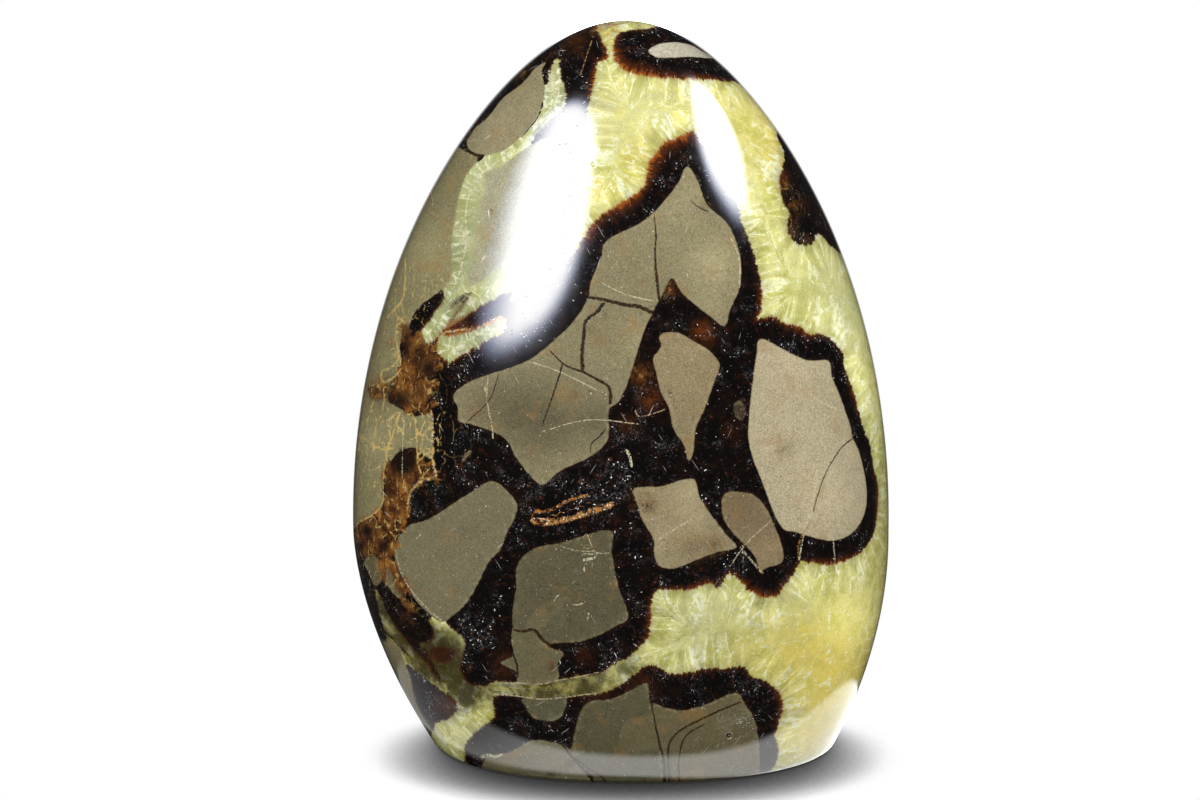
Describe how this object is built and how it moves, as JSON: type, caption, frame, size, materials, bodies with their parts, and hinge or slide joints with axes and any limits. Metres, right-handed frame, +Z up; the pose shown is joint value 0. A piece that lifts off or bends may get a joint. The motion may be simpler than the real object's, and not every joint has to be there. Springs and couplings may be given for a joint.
{
  "type": "septarian nodule",
  "caption": "Polished free-standing septarian nodule: a flattened egg of grey mudstone blocks, dark aragonite veins and yellow calcite, on a flat cut foot.",
  "frame": {"origin": "middle of the object's box in plan, on the plane of the flat cut foot", "axes": "+Z up from the foot to the tip, +X to the right seen from the front, +Y from the front to the back"},
  "size_m": [0.11, 0.066, 0.15],
  "materials": {
    "polished_stone": "polished, glossy, septarian pattern of grey mudstone, near-black aragonite and yellow calcite"
  },
  "bodies": {
    "root": {"septarian_nodule": "polished_stone"}
  },
  "joints": []
}
